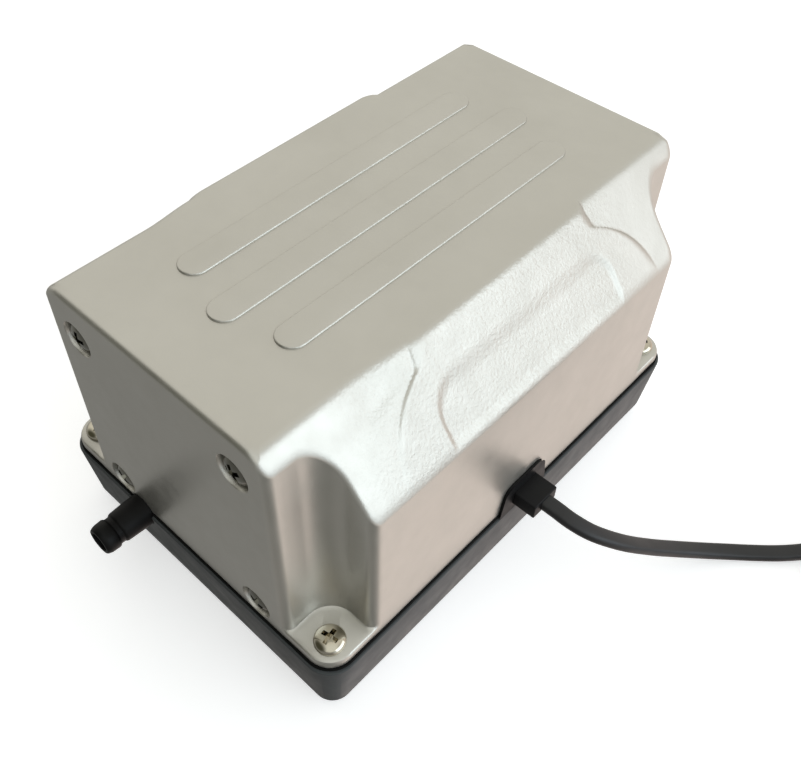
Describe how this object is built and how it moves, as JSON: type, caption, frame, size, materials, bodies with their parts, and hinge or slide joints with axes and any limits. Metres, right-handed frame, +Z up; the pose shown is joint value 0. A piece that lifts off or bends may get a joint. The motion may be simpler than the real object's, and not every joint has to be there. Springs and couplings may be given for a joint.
{
  "type": "linear air pump",
  "caption": "Linear diaphragm air pump for ponds and aquariums: sloped die-cast housing on a plastic base tray, side air outlet, mains lead wound in a coil.",
  "frame": {"origin": "on the surface it stands on, under the middle of the pump's box without its lead (the box runs from the tray's rear edge to the outlet's tip)", "axes": "+Z up; -Y is the end with the air outlet; +X is the long side that the mains lead leaves"},
  "size_m": [0.313, 0.2326, 0.1192],
  "materials": {
    "cast_housing": "silver-beige stove enamel on die-cast aluminium, fine grained satin",
    "base_plastic": "dark grey moulded plastic, satin",
    "seal_rubber": "black sheet rubber, matte",
    "foot_rubber": "black moulded rubber, matte",
    "screw_nickel": "bright nickel plate",
    "nozzle_plastic": "black moulded plastic, semi-gloss",
    "gland_plastic": "black moulded nylon",
    "cord_sheath": "dark grey sheath, satin",
    "tie_plastic": "black plastic strap",
    "plug_plastic": "black moulded plug, satin",
    "pin_brass": "bright nickel-plated brass",
    "inner_casting": "raw die casting",
    "armature_alloy": "machined alloy",
    "diaphragm_rubber": "black sheet rubber",
    "hose_rubber": "black rubber hose",
    "head_plastic": "off-white moulded plastic",
    "chamber_plastic": "light grey moulded plastic",
    "core_steel": "laminated electrical steel",
    "clamp_steel": "zinc-plated steel",
    "bobbin_nylon": "natural nylon",
    "winding_copper": "varnished copper wire",
    "magnet_ferrite": "dark ceramic magnet",
    "filter_felt": "white filter felt"
  },
  "bodies": {
    "root": {"air_chamber": "chamber_plastic", "base_tray": "base_plastic", "cord_coil": "cord_sheath", "cord_gland": "gland_plastic", "cord_tie": "tie_plastic", "filter_cover": "base_plastic", "filter_felt": "filter_felt", "front_air_duct": "hose_rubber", "front_diaphragm": "diaphragm_rubber", "front_diaphragm_ring": "inner_casting", "front_head_cover": "head_plastic", "front_screw_1": "screw_nickel", "front_screw_2": "screw_nickel", "front_screw_3": "screw_nickel", "front_screw_4": "screw_nickel", "front_valve_plate": "head_plastic", "housing_seal": "seal_rubber", "left_coil_bobbin": "bobbin_nylon", "left_coil_winding": "winding_copper", "left_magnet_core": "core_steel", "lug_screw_1": "screw_nickel", "lug_screw_2": "screw_nickel", "lug_screw_3": "screw_nickel", "lug_screw_4": "screw_nickel", "mains_plug": "plug_plastic", "outlet_hose": "hose_rubber", "outlet_nozzle": "nozzle_plastic", "plug_pin_1": "pin_brass", "plug_pin_2": "pin_brass", "power_cord": "cord_sheath", "power_cord_tail": "cord_sheath", "pump_frame": "inner_casting", "rear_air_duct": "hose_rubber", "rear_diaphragm": "diaphragm_rubber", "rear_diaphragm_ring": "inner_casting", "rear_head_cover": "head_plastic", "rear_screw_1": "screw_nickel", "rear_screw_2": "screw_nickel", "rear_screw_3": "screw_nickel", "rear_screw_4": "screw_nickel", "rear_valve_plate": "head_plastic", "right_coil_bobbin": "bobbin_nylon", "right_coil_winding": "winding_copper", "right_magnet_core": "core_steel", "rubber_foot_1": "foot_rubber", "rubber_foot_2": "foot_rubber", "rubber_foot_3": "foot_rubber", "rubber_foot_4": "foot_rubber", "upper_housing": "cast_housing"},
    "armature": {"armature_shaft": "armature_alloy", "front_magnet": "magnet_ferrite", "rear_magnet": "magnet_ferrite", "front_clamp_plate": "clamp_steel", "rear_clamp_plate": "clamp_steel", "front_lock_nut": "clamp_steel", "rear_lock_nut": "clamp_steel"},
    "front_inlet_flap": {"front_inlet_flap": "diaphragm_rubber"},
    "front_outlet_flap": {"front_outlet_flap": "diaphragm_rubber"},
    "rear_inlet_flap": {"rear_inlet_flap": "diaphragm_rubber"},
    "rear_outlet_flap": {"rear_outlet_flap": "diaphragm_rubber"}
  },
  "joints": [
    {"name": "armature_slide", "type": "slide", "parent": "root", "child": "armature", "axis": [0, 1, 0], "range_m": [-0.0015, 0.0015], "stiffness_N_per_m": 3000, "deforming": ["front_diaphragm", "rear_diaphragm"]},
    {"name": "front_inlet_flap_hinge", "type": "hinge", "parent": "root", "child": "front_inlet_flap", "pos_m": [0, -0.0615, 0.0975], "axis": [1, 0, 0], "range_deg": [0, 12], "stiffness_Nm_per_rad": 0.001},
    {"name": "front_outlet_flap_hinge", "type": "hinge", "parent": "root", "child": "front_outlet_flap", "pos_m": [0, -0.0661, 0.0615], "axis": [1, 0, 0], "range_deg": [-12, 0], "stiffness_Nm_per_rad": 0.001},
    {"name": "rear_inlet_flap_hinge", "type": "hinge", "parent": "root", "child": "rear_inlet_flap", "pos_m": [0, 0.0787, 0.0975], "axis": [1, 0, 0], "range_deg": [-12, 0], "stiffness_Nm_per_rad": 0.001},
    {"name": "rear_outlet_flap_hinge", "type": "hinge", "parent": "root", "child": "rear_outlet_flap", "pos_m": [0, 0.0833, 0.0615], "axis": [1, 0, 0], "range_deg": [0, 12], "stiffness_Nm_per_rad": 0.001}
  ]
}
